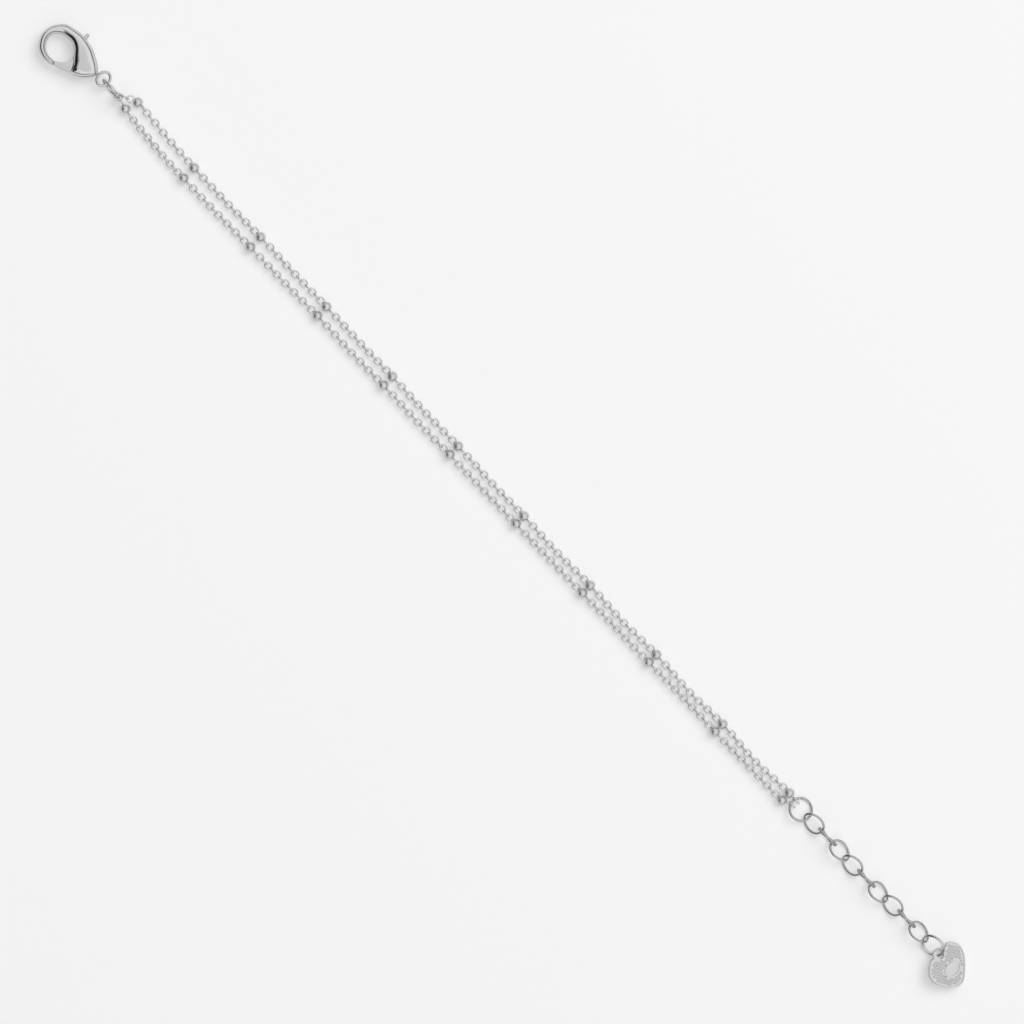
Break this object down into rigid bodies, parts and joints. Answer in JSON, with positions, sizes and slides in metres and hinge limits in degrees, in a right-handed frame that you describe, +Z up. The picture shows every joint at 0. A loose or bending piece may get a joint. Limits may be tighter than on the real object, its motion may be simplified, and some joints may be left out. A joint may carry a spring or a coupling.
{
  "type": "bracelet",
  "caption": "Fine layered chain bracelet with small round beads, a lobster clasp with a sprung lever, an extender chain and a heart tag, lying open and straight.",
  "frame": {"origin": "middle of the lying bracelet's bounding box, on the table it lies on", "axes": "+X along the bracelet from the clasp to the heart tag, +Z up from the table"},
  "size_m": [0.1934, 0.008, 0.0036],
  "materials": {
    "polished_silver": "polished silver plate",
    "chain_silver": "silver plate on fine links",
    "tag_silver": "satin cast silver plate"
  },
  "bodies": {
    "bracelet": {"clasp_body": "polished_silver", "clasp_rivet": "polished_silver", "jump_ring": "polished_silver", "extender_ring": "polished_silver", "tag_ring": "polished_silver", "bead_upper_01": "polished_silver", "bead_upper_02": "polished_silver", "bead_upper_03": "polished_silver", "bead_upper_04": "polished_silver", "bead_upper_05": "polished_silver", "bead_upper_06": "polished_silver", "bead_upper_07": "polished_silver", "bead_upper_08": "polished_silver", "bead_upper_09": "polished_silver", "bead_upper_10": "polished_silver", "bead_upper_11": "polished_silver", "bead_lower_01": "polished_silver", "bead_lower_02": "polished_silver", "bead_lower_03": "polished_silver", "bead_lower_04": "polished_silver", "bead_lower_05": "polished_silver", "bead_lower_06": "polished_silver", "bead_lower_07": "polished_silver", "bead_lower_08": "polished_silver", "bead_lower_09": "polished_silver", "bead_lower_10": "polished_silver", "bead_lower_11": "polished_silver", "extender_link_1": "polished_silver", "extender_link_2": "polished_silver", "extender_link_3": "polished_silver", "extender_link_4": "polished_silver", "extender_link_5": "polished_silver", "extender_link_6": "polished_silver", "extender_link_7": "polished_silver", "extender_link_8": "polished_silver", "extender_link_9": "polished_silver", "chain_upper": "chain_silver", "chain_lower": "chain_silver", "upper_first_link": "chain_silver", "lower_first_link": "chain_silver", "upper_last_link": "chain_silver", "lower_last_link": "chain_silver", "heart_tag": "tag_silver"},
    "lever": {"clasp_lever": "polished_silver"}
  },
  "joints": [
    {"name": "lever_pivot", "type": "hinge", "parent": "bracelet", "child": "lever", "pos_m": [-0.08943, -0.00095, 0.00131], "axis": [0, 0, -1], "range_deg": [0, 28], "stiffness_Nm_per_rad": 0.003, "springref_deg": -14.32}
  ]
}
